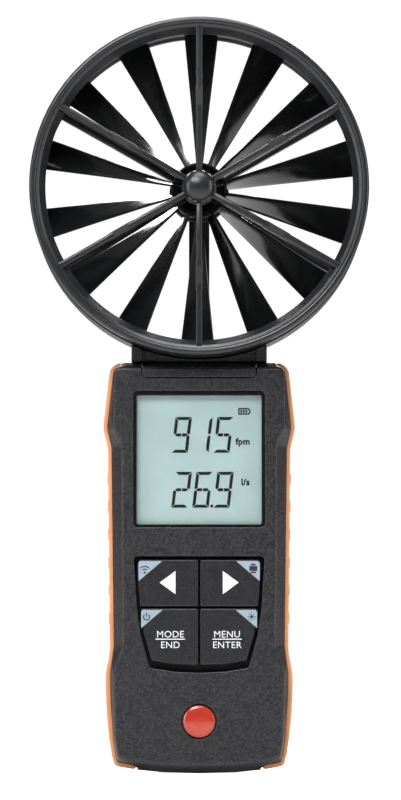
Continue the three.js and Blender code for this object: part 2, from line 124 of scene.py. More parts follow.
SCREEN_HALF = window_high.x + GAP
SCREEN_BOTTOM = window_low.z - GAP
SCREEN_TOP = window_high.z + GAP
KEY_FRONT = key_low.y
KEY_BACK = key_high.y
KEY_MIDDLE = key_low.x
BADGE_R = (badge_high.x - badge_low.x) / 2
BADGE_Z = (badge_low.z + badge_high.z) / 2
TONGUE_HALF = 17.6
TONGUE_FOOT = neck_low.z
TONGUE_CORNER = 2.2
TONGUE_TOP = PANEL_TOP - 0.2
NECK_HALF = neck_high.x
RECESS_Y = -9.8


# ---------------------------------------------------------------- materials
def new_material(name, colour, roughness, metallic=0.0, **sockets):
    material = bpy.data.materials.new(name)
    material.use_nodes = True
    shader = material.node_tree.nodes["Principled BSDF"]
    shader.inputs["Base Color"].default_value = (*colour, 1)
    shader.inputs["Roughness"].default_value = roughness
    shader.inputs["Metallic"].default_value = metallic
    for socket, value in sockets.items():
        shader.inputs[socket.replace("_", " ")].default_value = value
    return material


def noise(material, scale, detail=3.0, stretch=(1, 1, 1)):
    """A noise texture in object space; scale is in features per millimetre."""
    nodes = material.node_tree.nodes
    links = material.node_tree.links
    place = nodes.new("ShaderNodeTexCoord")
    mapping = nodes.new("ShaderNodeMapping")
    mapping.inputs["Scale"].default_value = [s / MM for s in stretch]
    texture = nodes.new("ShaderNodeTexNoise")
    texture.inputs["Scale"].default_value = scale
    texture.inputs["Detail"].default_value = detail
    links.new(place.outputs["Object"], mapping.inputs["Vector"])
    links.new(mapping.outputs["Vector"], texture.inputs["Vector"])
    return texture.outputs["Fac"]


def spread(material, value, low, high):
    """Maps the middle of a noise value onto low..high."""
    node = material.node_tree.nodes.new("ShaderNodeMapRange")
    node.inputs["From Min"].default_value = 0.3
    node.inputs["From Max"].default_value = 0.7
    node.inputs["To Min"].default_value = low
    node.inputs["To Max"].default_value = high
    material.node_tree.links.new(value, node.inputs["Value"])
    return node.outputs["Result"]


def vary_colour(material, value, dark, light):
    nodes = material.node_tree.nodes
    links = material.node_tree.links
    ramp = nodes.new("ShaderNodeValToRGB")
    ramp.color_ramp.elements[0].position = 0.38
    ramp.color_ramp.elements[0].color = (*dark, 1)
    ramp.color_ramp.elements[1].position = 0.64
    ramp.color_ramp.elements[1].color = (*light, 1)
    links.new(value, ramp.inputs["Fac"])
    links.new(ramp.outputs["Color"], nodes["Principled BSDF"].inputs["Base Color"])


def roughen(material, value, low, high):
    shader = material.node_tree.nodes["Principled BSDF"]
    material.node_tree.links.new(spread(material, value, low, high), shader.inputs["Roughness"])


def bump(material, value, depth):
    """depth is the height of the grain in millimetres."""
    nodes = material.node_tree.nodes
    links = material.node_tree.links
    node = nodes.new("ShaderNodeBump")
    node.inputs["Distance"].default_value = depth * MM
    links.new(value, node.inputs["Height"])
    links.new(node.outputs["Normal"], nodes["Principled BSDF"].inputs["Normal"])


def moulded(name, dark, light, roughness, grain=2.2, depth=0.03, mottle=0.12, **sockets):
    """Moulded plastic or rubber: fine eroded grain, faint mottling and uneven gloss."""
    material = new_material(name, light, roughness, **sockets)
    vary_colour(material, noise(material, mottle, 4), dark, light)
    roughen(material, noise(material, 0.35, 3), roughness - 0.05, roughness + 0.07)
    bump(material, noise(material, grain, 2), depth)
    return material


def machined(name, dark, light, roughness):
    material = new_material(name, light, roughness, 1.0)
    vary_colour(material, noise(material, 0.4, 4), dark, light)
    roughen(material, noise(material, 3, 2, (1, 1, 0.05)), roughness - 0.08, roughness + 0.1)
    bump(material, noise(material, 6, 2, (1, 1, 0.05)), 0.004)
    return material


def printed(name, colour):
    """Screen-printed ink: slightly uneven and satin."""
    material = new_material(name, colour, 0.45)
    dark = [c * 0.93 for c in colour]
    vary_colour(material, noise(material, 0.8, 3), dark, colour)
    roughen(material, noise(material, 1.5, 2), 0.38, 0.52)
    return material


def make_materials():
    made = {
        "charcoal": moulded("charcoal", (0.004, 0.004, 0.005), (0.027, 0.027, 0.032), 0.4, 1.5, 0.2,
                            mottle=1.5),
        "duct": moulded("duct_grey", (0.011, 0.0115, 0.013), (0.015, 0.0155, 0.0175), 0.31, 2.0, 0.012),
        "orange": moulded("grip_orange", (0.61, 0.27, 0.11), (0.70, 0.31, 0.135), 0.55, 1.6, 0.025,
                          Sheen_Weight=0.25, Sheen_Roughness=0.5),
        "key": moulded("key_black", (0.003, 0.003, 0.004), (0.013, 0.013, 0.016), 0.42, 1.6, 0.1, mottle=1.6),
        "blade": moulded("blade_black", (0.007, 0.0075, 0.008), (0.010, 0.0105, 0.011), 0.13, 0.25, 0.012),
        "bezel": moulded("bezel_black", (0.004, 0.004, 0.005), (0.006, 0.006, 0.007), 0.22, 1.0, 0.004),
        "silicone": moulded("silicone_black", (0.008, 0.008, 0.009), (0.012, 0.012, 0.013), 0.65, 1.5, 0.02),
        "lcd": moulded("lcd_green", (0.43, 0.58, 0.575), (0.46, 0.62, 0.61), 0.34, 0.8, 0.002),
        "digit": moulded("digit_black", (0.006, 0.007, 0.007), (0.010, 0.011, 0.011), 0.3, 0.8, 0.002),
        "backlight": moulded("backlight_white", (0.70, 0.70, 0.68), (0.80, 0.80, 0.78), 0.4, 0.6, 0.01),
        "board": moulded("board_green", (0.010, 0.07, 0.030), (0.015, 0.10, 0.045), 0.35, 0.9, 0.03),
        "badge": moulded("badge_red", (0.42, 0.03, 0.012), (0.50, 0.045, 0.016), 0.22, 0.5, 0.004,
                         Coat_Weight=0.5, Coat_Roughness=0.12),
        "sleeve": moulded("cell_sleeve", (0.04, 0.06, 0.09), (0.05, 0.07, 0.10), 0.3, 0.8, 0.004),
        "steel": machined("steel", (0.50, 0.51, 0.52), (0.62, 0.63, 0.64), 0.3),
        "brass": machined("brass", (0.52, 0.35, 0.12), (0.62, 0.44, 0.17), 0.3),
        "white_ink": printed("white_ink", (0.80, 0.81, 0.82)),
        "blue_ink": printed("blue_ink", (0.31, 0.39, 0.46)),
        "dark_ink": printed("dark_ink", (0.02, 0.024, 0.03)),
    }
    window = new_material("window_clear", (0.02, 0.03, 0.03), 0.06)
    window.node_tree.nodes["Principled BSDF"].inputs["Alpha"].default_value = 0.07
    roughen(window, noise(window, 0.2, 2), 0.05, 0.1)
    made["window"] = window
    return made


MATERIALS = make_materials()


# ---------------------------------------------------------------- outlines in a plane
def mirrored(points):
    """A closed outline, the same on both sides of x = 0, from the points of its right half."""
    left = [(-p[0], *p[1:]) for p in reversed(points) if p[0] > 0]
    return [*points, *left]


NEARLY_STRAIGHT = 1.56


def fillet(points, radius, steps=5):
    """Rounds the corners of a closed outline; a third number in a point is its own radius."""
    rounded = []
    for i, point in enumerate(points):
        corner = Vector(point[:2])
        reach = point[2] if len(point) > 2 else radius
        before = Vector(points[i - 1][:2]) - corner
        after = Vector(points[(i + 1) % len(points)][:2]) - corner
        if reach == 0:
            rounded.append(corner)
            continue
        half = max(before.angle(after, math.pi) / 2, 0.05)
        if half < NEARLY_STRAIGHT:
            reach /= math.tan(half)
        reach = min(reach, 0.45 * before.length, 0.45 * after.length)
        start = corner + before.normalized() * reach
        end = corner + after.normalized() * reach
        for step in range(steps + 1):
            t = step / steps
            rounded.append(start * (1 - t) ** 2 + corner * (2 * t * (1 - t)) + end * t ** 2)
    return rounded


def offset(outline, distance):
    """Moves a counter-clockwise outline outwards by distance."""
    moved = []
    for i, point in enumerate(outline):
        into = (point - outline[i - 1]).normalized()
        out = (outline[(i + 1) % len(outline)] - point).normalized()
        normal = Vector((into.y + out.y, -into.x - out.x)).normalized()
        stretch = max(0.5, normal.dot(Vector((into.y, -into.x))))
        moved.append(point + normal * (distance / stretch))
    return moved


def arc(cx, cz, radius, start, end, steps):
    """Points of an arc; angles in degrees."""
    points = []
    for step in range(steps + 1):
        angle = math.radians(start + (end - start) * step / steps)
        points.append(Vector((cx + radius * math.cos(angle), cz + radius * math.sin(angle))))
    return points


def dot(cx, cz, radius):
    return arc(cx, cz, radius, 0, 330, 11)


def rectangle(half, bottom, top, radius):
    return fillet([(-half, bottom), (half, bottom), (half, top), (-half, top)], radius, 6)


def resample(outline, spacing):
    """Adds points so that no step of the closed outline is longer than spacing."""
    points = []
    for i, point in enumerate(outline):
        after = outline[(i + 1) % len(outline)]
        steps = max(1, math.ceil((after - point).length / spacing))
        points += [point.lerp(after, step / steps) for step in range(steps)]
    return points


# ---------------------------------------------------------------- meshes
class Solid:
    """A mesh under construction, in millimetres."""

    def __init__(self):
        self.verts = []
        self.faces = []

    def ring(self, points):
        start = len(self.verts)
        self.verts += [tuple(p) for p in points]
        return list(range(start, len(self.verts)))

    def bridge(self, a, b):
        for i in range(len(a)):
            j = (i + 1) % len(a)
            self.faces.append((a[i], a[j], b[j], b[i]))

    def fan(self, ring, point):
        tip = self.ring([point])[0]
        for i in range(len(ring)):
            self.faces.append((ring[i], ring[(i + 1) % len(ring)], tip))

    def cap(self, outer, *holes):
        """Closes a flat end, leaving the holes open."""
        loops = [outer, *holes]
        flat = [i for loop in loops for i in loop]
        for triangle in tessellate_polygon([[Vector(self.verts[i]) for i in loop] for loop in loops]):
            self.faces.append(tuple(flat[i] for i in triangle))

    def tube(self, rings):
        """Joins rings in order and leaves both ends open."""
        made = [self.ring(points) for points in rings]
        for a, b in zip(made, made[1:]):
            self.bridge(a, b)
        return made

    def loft(self, rings, closed=False):
        """Joins rings in order, into a closed tube or with flat ends."""
        made = self.tube(rings)
        if closed:
            self.bridge(made[-1], made[0])
        else:
            self.cap(made[0])
            self.cap(made[-1])
        return self


SHARP = 32


def shade(mesh, sharp):
    """Smooth shading, except at edges that turn by more than sharp degrees."""
    mesh.polygons.foreach_set("use_smooth", [True] * len(mesh.polygons))
    mesh.set_sharp_from_angle(angle=math.radians(sharp))


def even_normals(piece):
    piece.modifiers.new("even_normals", "WEIGHTED_NORMAL").keep_sharp = True


def make(solid, name, material, body, replaces=(), sharp=SHARP):
    """Turns a Solid into a piece that rides on a body."""
    mesh = bpy.data.meshes.new(name)
    mesh.from_pydata([Vector(v) * MM for v in solid.verts], [], solid.faces)
    bm = bmesh.new()
    bm.from_mesh(mesh)
    bmesh.ops.remove_doubles(bm, verts=bm.verts, dist=1e-7)
    bmesh.ops.recalc_face_normals(bm, faces=bm.faces)
    bm.to_mesh(mesh)
    bm.free()
    shade(mesh, sharp)
    piece = bpy.data.objects.new(name, mesh)
    bpy.context.scene.collection.objects.link(piece)
    even_normals(piece)
    return settle(piece, material, body, replaces)


def settle(piece, material, body, replaces=()):
    """Gives a piece its material, its body and the CAD nodes that it stands for."""
    piece.data.materials.clear()
    piece.data.materials.append(MATERIALS[material])
    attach(piece, body)
    if replaces:
        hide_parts(*replaces)
    return piece


def plane_ring(outline, y):
    return [(p.x, y, p.y) for p in outline]


def rim_steps(radius, steps=4):
    """Rounding of an edge between a face and a wall, as (outward, deeper) pairs from the face on."""
    for step in range(steps + 1):
        angle = math.pi / 2 * step / steps
        yield radius * (math.sin(angle) - 1), radius * (1 - math.cos(angle))


def plaque(outline, front, back, edge, steps=4):
    """A flat piece with a rounded front edge."""
    rings = [plane_ring(offset(outline, out), front + deep) for out, deep in rim_steps(edge, steps)]
    rings.append(plane_ring(outline, back))
    return Solid().loft(rings)


def turned(name, profile, material, replaces, segments, body="housing", cz=AXIS_Z):
    """A closed profile of (radius, y) points turned about an axis along Y at height cz."""
    solid = Solid()
    turns = [2 * math.pi * i / segments for i in range(segments)]
    loops = []
    for r, y in profile:
        if r < 1e-6:
            loops.append(solid.ring([(0, y, cz)]) * segments)
        else:
            loops.append(solid.ring([(r * math.cos(a), y, cz + r * math.sin(a)) for a in turns]))
    for a, b in zip(loops, [*loops[1:], loops[0]]):
        for i in range(segments):
            j = (i + 1) % segments
            corners = list(dict.fromkeys((a[i], a[j], b[j], b[i])))
            if len(corners) > 2:
                solid.faces.append(tuple(corners))
    return make(solid, name, material, body, replaces)


def wheel_point(r, t, y, angle):
    """A point of the wheel head: along a radius, across it, and along the axis."""
    return (r * math.cos(angle) - t * math.sin(angle), y, AXIS_Z + r * math.sin(angle) + t * math.cos(angle))


# ---------------------------------------------------------------- wheel head
def build_duct():
    bead = arc(RIM_R - LIP_R, RIM_FRONT + LIP_R, LIP_R, 0, -180, 14)
    front = [
        *[(*p, 0) for p in bead],
        (RIM_R - 3.1, RIM_FRONT + 1.7, 0.3),
        (FRONT_LIP_R, RIM_FRONT + 5, 0.5),
        (FRONT_LIP_R, RIM_FRONT + 6.2, 0.4),
        (THROAT_R, RIM_FRONT + 8, 0.6),
        (THROAT_R, SEAM, 0.2),
        (RIM_R - 0.8, SEAM, 0.2),
        (RIM_R - 0.8, RIM_FRONT + 5, 0.2),
        (RIM_R, RIM_FRONT + 4.2, 0.3),
    ]
    rear = [
        (RING_R, RING_BACK - 1, 0.6),
        (RING_R, SEAM + GAP, 0.25),
        (THROAT_R, SEAM + GAP, 0.2),
        (THROAT_R, RING_BACK - 3.6, 0.4),
        (REAR_LIP_R, RING_BACK - 2.6, 0.3),
        (REAR_LIP_R, RING_BACK - 0.6, 0.3),
        (REAR_LIP_R + 0.6, RING_BACK, 0.25),
        (RING_R - 1, RING_BACK, 0.4),
    ]
    turned("duct_front_half", fillet(front, 0.3), "duct", ["duct_front"], 240)
    turned("duct_rear_half", fillet(rear, 0.3), "duct", ["duct_rear"], 240)


def strut(name, stations, angle, replaces):
    """A guard strut lofted through stations of (radius, half width, front y, back y)."""
    back_edge = 0.25
    rings = []
    for r, half, front, back in stations:
        edge = min(half * 0.8, (back - front) * 0.3)
        section = fillet([(-half, back, back_edge), (half, back, back_edge),
                          (half, front, edge), (-half, front, edge)], edge, 4)
        rings.append([wheel_point(r, p.x, p.y, angle) for p in section])
    make(Solid().loft(rings), name, "duct", "housing", replaces)


def strut_window(name, angle):
    """The dark inlay on the front of a guard strut."""
    rings = []
    for inset, y in ((0, -21.3), (0, -21.43), (0.1, -21.5)):
        low, high, half = 25 + inset, 30.4 - inset, 0.8 - inset
        corners = ((low, -half), (high, -half), (high, half), (low, half))
        rings.append([wheel_point(r, t, y, angle) for r, t in corners])
    make(Solid().loft(rings), name, "silicone", "housing")


STRUTS = 6
LEAD_STRUT_INDEX = 4
FRONT_STRUT = [
    (BALL_R - 0.7, 0.95, -19.2, -16.8),
    (7, 1.0, -19.9, -16.4),
    (13, 1.0, -21.2, -16.4),
    (22.8, 1.0, -21.3, -16.4),
    (23.6, 1.2, -21.4, -16.4),
    (31.4, 1.2, -21.4, -16.4),
    (32.2, 1.0, -21.3, -16.4),
    (47, 1.05, -21.4, -16.6),
    (49.6, 1.1, -21.6, -19.6),
]
REAR_STRUT = [
    (POD_R - 0.4, 1.05, 2.2, 5.8),
    (30, 1.1, 2.2, 5.4),
    (49.9, 1.3, 2.2, 5.1),
]
LEAD_STRUT = [
    (POD_R - 0.4, 3.2, 2.2, 5.9),
    (44, 3.2, 2.2, 5.3),
    (49.9, 3.6, 2.0, 5.1),
]


def build_guards():
    for i in range(STRUTS):
        angle = (i + 0.5) * 2 * math.pi / STRUTS
        name = f"guard_strut_front_{i + 1}"
        strut(f"{name}_fine", FRONT_STRUT, angle, [name])
        leads = i == LEAD_STRUT_INDEX
        name = "guard_strut_lead" if leads else f"guard_strut_rear_{i + 1}"
        strut(f"{name}_fine", LEAD_STRUT if leads else REAR_STRUT, angle, [name])
        strut_window(f"strut_window_{i + 1}", angle)


def build_nose():
    front = nose_low.y
    ball = [(4.95 * p.x, front + 3.4 * (1 + p.y), 0) for p in arc(0, 0, 1, -90, 20, 16)]
    profile = [
        *ball,
        (4.1, front + 5.2, 0.3),
        (BOSS_R, front + 6.4, 0.5),
        (BOSS_R, nose_high.y, 0.3),
        (3, nose_high.y, 0.1),
        (3, -15.9, 0.1),
        (0, -15.9, 0),
    ]
    turned("guard_nose_fine", fillet(profile, 0.2), "duct", ["guard_nose"], 64)


def build_pod():
    profile = [
        (0, 5.2, 0),
        (3, 5.2, 0.1),
        (3, pod_low.y, 0.2),
        (POD_R, pod_low.y, 0.4),
        (POD_R, 5.4, 0.8),
        (POD_R - 1.6, 6.8, 0.9),
        (5, 7.1, 0.3),
        (4.6, 6.7, 0.3),
        (0, 6.7, 0),
    ]
    turned("sensor_pod_fine", fillet(profile, 0.3), "duct", ["sensor_pod"], 96)


# ---------------------------------------------------------------- measuring wheel
def build_hub():
    rim = HUB_R - 0.9
    profile = [
        (1.3, hub_low.y, 0.15),
        (3.1, hub_low.y, 0.5),
        (3.5, -1.4, 0.6),
        (rim, -1.4, 0.5),
        (rim, -7.4, 0.2),
        (HUB_R, -7.4, 0.25),
        (HUB_R, 0, 0.4),
        (1.3, 0.6, 0.2),
    ]
    turned("rotor_hub_fine", fillet(profile, 0.2, 4), "blade", ["rotor_hub"], 112, "rotor")
    for i in range(BLADES // 2):
        angle = math.pi / 2 + (i + 0.5) * 4 * math.pi / BLADES
        rings = []
        for r in (3.1, 4.2, 6.4, 8.0):
            section = fillet([(-0.4, -1.2), (0.4, -1.2), (0.35, -6.6), (-0.35, -6.6)], 0.2, 3)
            rings.append([wheel_point(r, p.x, p.y, angle) for p in section])
        make(Solid().loft(rings), f"hub_rib_{i + 1}", "blade", "rotor")


def blade_section(r, angle, reach):
    """Loop round a blade at radius r: a thin rounded lens along the helicoid."""
    thick = 0.95 - 0.45 * (r - BLADE_ROOT_R) / (BLADE_TIP_R - BLADE_ROOT_R)
    lean = math.atan(r * BLADE_TWIST / BLADE_DEPTH)
    points = []
    steps = 10
    for side in (1, -1):
        for step in range(steps):
            s = side * math.cos(math.pi * step / steps)
            across = side * thick / 2 * (1 - abs(s) ** 4) ** 0.5
            y = s * BLADE_DEPTH / 2 * reach
            turn = BLADE_TWIST * y / BLADE_DEPTH + across * math.cos(lean) / r
            points.append(wheel_point(r, 0, BLADE_Y + y - across * math.sin(lean), angle - turn))
    return points


def build_blades():
    tip = 1.2
    radii = [BLADE_ROOT_R + (BLADE_TIP_R - tip - BLADE_ROOT_R) * i / 16 for i in range(17)]
    radii += [BLADE_TIP_R - tip * (1 - k) for k in (0.4, 0.7, 0.9, 1)]
    for i in range(BLADES):
        angle = BLADE_START + i * 2 * math.pi / BLADES
        rings = []
        for r in radii:
            past = max(0, (r - (BLADE_TIP_R - tip)) / tip)
            reach = 1 - 0.12 * (1 - math.sqrt(max(0, 1 - past * past)))
            rings.append(blade_section(r, angle, reach))
        number = f"{i + 1:02d}"
        make(Solid().loft(rings), f"blade_{number}_fine", "blade", "rotor",
             [f"rotor_blade_{number}"], 50)


# ---------------------------------------------------------------- housing outlines
def smooth(z, low, high):
    t = min(1, max(0, (z - low) / (high - low)))
    return t * t * (3 - 2 * t)


def half_width(z):
    shoulder = SHOULDER_FLARE * smooth(z, 99, 107.5) - 0.11 * max(0, z - 107.5)
    foot = FOOT_FLARE * (1 - smooth(z, 29, 39.5)) - max(0, 28.5 - z) ** 2 / 330
    return WAIST + shoulder + foot - 0.011 * max(0, 95 - z)


def housing_outline():
    corner = 4
    foot = half_width(2.2)
    right = [(0, 0), (11, 0.3), (19.5, 1.1), (foot - 2.4, 1.9)]
    right += [tuple(p) for p in arc(foot - 1.95, 4.0, 2.0, -65, 0, 5)]
    z = 5.4
    while z < TOP - corner - 0.2:
        right.append((half_width(z), z))
        z += 1.25
    right += [tuple(p) for p in arc(half_width(TOP - corner) - corner, TOP - corner, corner, 0, 90, 10)]
    return [Vector(p) for p in mirrored(right)]


def channel_outline(inset, wall=0):
    """The housing outline, drawn smaller by wall, and let in further under the two grips."""
    outer = resample(housing_outline(), 0.5)
    points = []
    for at, shallow, deep in zip(outer, offset(outer, -wall), offset(outer, -wall - inset)):
        end = GRIP_TOP_END if at.y > TOP / 2 else GRIP_FOOT_END
        points.append(deep if abs(at.x) > end - GAP else shallow)
    return points


def panel_outline():
    right = [
        (0, 2.7, 30), (12, 3, 20), (22.2, 4, 5), (25.1, 5.2, 1.6), (PANEL_FOOT - 0.5, 11, 8),
        (PANEL_FOOT, 32.2, 3), (PANEL_WAIST, 38.8, 4), (PANEL_WAIST + 0.3, 101.7, 4),
        (PANEL_SHOULDER, 107.3, 3), (PANEL_SHOULDER - 0.2, PANEL_TOP, 2.2),
    ]
    return fillet(mirrored(right), 2, 6)


def keypad_outline():
    right = [(0, 31, 12), (8, 31.4, 8), (15.3, 32.6, 1.4), (18.1, 43, 3), (19.2, 51, 3), (20.2, 66.9, 1.4)]
    return fillet(mirrored(right), 1, 6)


def pull_inside(point, outline):
    """The point itself, or the nearest place on the outline when it lies outside."""
    nearest = None
    for i, start in enumerate(outline):
        end = outline[(i + 1) % len(outline)]
        along = end - start
        t = min(1, max(0, (point - start).dot(along) / max(along.length_squared, 1e-12)))
        spot = start + along * t
        gap = (point - spot).length
        if nearest is None or gap < nearest[0]:
            side = along.x * (point.y - start.y) - along.y * (point.x - start.x)
            nearest = (gap, spot, side)
    return point if nearest[2] > 0 else nearest[1]


def flank_outline():
    """Where the sloping border of the panel ends, inside the grips and the housing's ends."""
    limit = channel_outline(GRIP_T - 0.3)
    return [pull_inside(p, limit) for p in offset(panel_outline(), FLANK_W)]


# ---------------------------------------------------------------- front shell
def shell_border(solid):
    """The sloping border, from its open back up to the rounded edge of the panel."""
    panel = panel_outline()
    flank = flank_outline()
    outside = [plane_ring(offset(flank, -0.4), LAP_BACK), plane_ring(flank, FLANK_BACK)]
    edge = 1.0
    ease = edge / math.hypot(FLANK_W, FLANK_DEPTH)
    for step in range(6):
        t = step / 5
        lean = ease * (1 - t) ** 2
        inward = -edge * t ** 2
        ring = [p.lerp(q, lean) for p, q in zip(offset(panel, inward), flank)]
        outside.append(plane_ring(ring, FRONT + FLANK_DEPTH * lean))
    return solid.tube(outside)


def shell_opening(solid, outline, back):
    """The rounded edge and the walls of an opening; returns its front and back ring."""
    rings = [plane_ring(offset(outline, -out), FRONT + deep) for out, deep in rim_steps(0.45)]
    rings.append(plane_ring(outline, back))
    made = solid.tube(rings)
    return made[0], made[-1]


def build_front_shell():
    """The panel with its border and openings, and the rim behind it that the grips lie on."""
    solid = Solid()
    border = shell_border(solid)
    screen = rectangle(SCREEN_HALF, SCREEN_BOTTOM, SCREEN_TOP, 1.5)
    recess = arc(0, BADGE_Z, BADGE_R + GAP, 0, 352.5, 47)
    screen_front, screen_back = shell_opening(solid, screen, LAP_BACK)
    keypad_front, keypad_back = shell_opening(solid, keypad_outline(), LAP_BACK)
    recess_front, recess_floor = shell_opening(solid, recess, FRONT + 1.2)
    solid.cap(recess_floor)
    solid.cap(border[-1], screen_front, keypad_front, recess_front)
    solid.cap(border[0], screen_back, keypad_back)
    cut_tongue(make(solid, "front_shell_fine", "charcoal", "housing", ["shell_front"]))

    outer = channel_outline(GRIP_T + GAP)
    inner = channel_outline(GRIP_T + GAP, RIM_WALL)
    rim = Solid().loft([
        plane_ring(outer, LAP_BACK), plane_ring(outer, PARTING),
        plane_ring(inner, PARTING), plane_ring(inner, LAP_BACK),
    ], closed=True)
    cut_tongue(make(rim, "front_shell_rim", "charcoal", "housing"))


def tongue_outline(gap, top):
    """The tongue in front view, drawn larger by gap, from its rounded foot up to a flat top."""
    half = TONGUE_HALF + gap
    foot = TONGUE_FOOT - gap
    right = [(half, foot, TONGUE_CORNER), (half, top, 0)]
    return fillet([(-half, foot, TONGUE_CORNER), *right, (-half, top, 0)], 1, 8)


def cut_tongue(piece):
    """Cuts the place of the neck's tongue out of a shell."""
    outline = tongue_outline(GAP, TOP + 3)
    cutter = Solid().loft([plane_ring(outline, FRONT - 1), plane_ring(outline, PARTING + 1)])
    tool = make(cutter, "tongue_cutter", "charcoal", "housing")
    piece.modifiers.clear()
    cut = piece.modifiers.new("tongue", "BOOLEAN")
    cut.operation = "DIFFERENCE"
    cut.solver = "EXACT"
    cut.object = tool
    graph = bpy.context.evaluated_depsgraph_get()
    mesh = bpy.data.meshes.new_from_object(piece.evaluated_get(graph))
    piece.modifiers.clear()
    piece.data = mesh
    shade(mesh, SHARP)
    even_normals(piece)
    bpy.data.objects.remove(tool)


# ---------------------------------------------------------------- grips
def grip_path():
    """The stretch of the housing outline that the right-hand grip covers, from its top end down."""
    outer = resample(housing_outline(), 0.45)
    points = []
    for p in outer:
        end = GRIP_TOP_END if p.y > TOP / 2 else GRIP_FOOT_END
        if p.x > end:
            points.append(p)
    points.sort(key=lambda p: math.atan2(p.y - TOP / 2, p.x - 15))
    return points


def bump_height(z):
    for i in range(BUMPS):
        away = abs(z - (BUMP_FIRST + i * BUMP_PITCH)) / BUMP_HALF
        if away < 1:
            return BUMP_HEIGHT * min(1, 1.6 * math.cos(away * math.pi / 2) ** 1.2)
    return 0


def build_grip(side):
    path = grip_path()
    front, back = grip_low.y, grip_high.y
    deep = back - front
    rings = []
    for i, p in enumerate(path):
        before = path[max(i - 1, 0)]
        after = path[min(i + 1, len(path) - 1)]
        along = (after - before).normalized()
        normal = Vector((along.y, -along.x))
        ease = min(1, 0.35 + 0.65 * min(i, len(path) - 1 - i) / 2)
        section = fillet([(-GRIP_T, front, 0.2), (0, front, 0.6), (0, back, 0.6), (-GRIP_T, back, 0.2)],
                         0.5, 4)
        ring = []
        for q in section:
            middle = 1 - abs(2 * (q.y - front) / deep - 1) ** 6
            out = q.x * (ease if q.x < 0 else 1)
            out += bump_height(p.y) * middle * max(0, 1 + q.x / GRIP_T)
            spot = p + normal * (out - 0.3 * (1 - ease))
            ring.append((side * spot.x, q.y, spot.y))
        rings.append(ring)
    name = "grip_right" if side > 0 else "grip_left"
    make(Solid().loft(rings), f"{name}_fine", "orange", "housing", [name], 40)


# ---------------------------------------------------------------- neck
def saddle_height(x):
    """The height of the saddle's hollow upper side, just clear of the duct."""
    return AXIS_Z - math.sqrt((RING_R + GAP) ** 2 - x * x)


def build_saddle():
    foot = TOP + GAP
    back = neck_high.y - 3.2
    arch = [Vector((x, saddle_height(x))) for x in [NECK_HALF - NECK_HALF * i / 15 for i in range(31)]]
    outline = [Vector((-NECK_HALF, foot)), Vector((NECK_HALF, foot)), *arch]
    rings = [plane_ring(offset(outline, -0.3), RECESS_Y), plane_ring(outline, RECESS_Y + 0.4),
             plane_ring(outline, back - 0.4), plane_ring(offset(outline, -0.4), back)]
    make(Solid().loft(rings), "neck_saddle", "charcoal", "housing")


def build_pillars():
    foot = TOP + GAP
    inner = TONGUE_HALF + 0.2
    front = neck_low.y + 3
    pillar = fillet([(inner, foot), (NECK_HALF, foot), (NECK_HALF, saddle_height(NECK_HALF) - 0.1),
                     (inner, saddle_height(inner) - 0.1)], 0.4, 3)
    rings = [plane_ring(offset(pillar, -0.3), front), plane_ring(pillar, front + 0.3),
             plane_ring(pillar, RECESS_Y + 0.2)]
    for side, tag in ((-1, "left"), (1, "right")):
        placed = [[(side * x, y, z) for x, y, z in ring] for ring in rings]
        make(Solid().loft(placed), f"neck_pillar_{tag}", "charcoal", "housing")


def build_tongue():
    """The face of the tongue, and the slope above it that runs back to the neck."""
    outline = tongue_outline(0, TONGUE_TOP)
    rings = [plane_ring(offset(outline, out), FRONT + deep) for out, deep in rim_steps(0.35)]
    rings = [[(x, y, min(z, TONGUE_TOP)) for x, y, z in ring] for ring in rings]
    rings.append(plane_ring(outline, FLANK_BACK + 2))
    make(Solid().loft(rings), "neck_tongue", "charcoal", "housing", ["neck"])

    slope = [(FRONT + 0.3, TONGUE_TOP), (FRONT + 0.9, PANEL_TOP + 0.5), (FLANK_BACK - 0.4, TOP - 0.3),
             (FLANK_BACK + 0.4, TOP + 0.2), (4, TOP + 0.2), (4, TONGUE_TOP)]
    profile = fillet(slope, 0.3, 4)
    edge = 0.25
    end = TONGUE_HALF - edge
    rings = []
    for x, shrink in ((-end, edge), (-TONGUE_HALF, 0), (TONGUE_HALF, 0), (end, edge)):
        rings.append([(x, p.x, p.y) for p in offset(profile, -shrink)])
    make(Solid().loft(rings), "neck_tongue_top", "charcoal", "housing")


# ---------------------------------------------------------------- display
LCD_Y = lcd_low.y
DIGIT_HEIGHT = 11.1
DIGIT_WIDTH = 5.1
DIGIT_PITCH = 6.48
DIGIT_STROKE = 0.95
DIGIT_SLANT = 0.12
DIGIT_LEFT = -8.65
SEGMENTS = {"1": "bc", "2": "abged", "5": "afgcd", "6": "afgedc", "9": "abcdfg"}
INK = 0.04


def slab(solid, outline, back, thickness):
    solid.loft([plane_ring(outline, back), plane_ring(outline, back - thickness)])


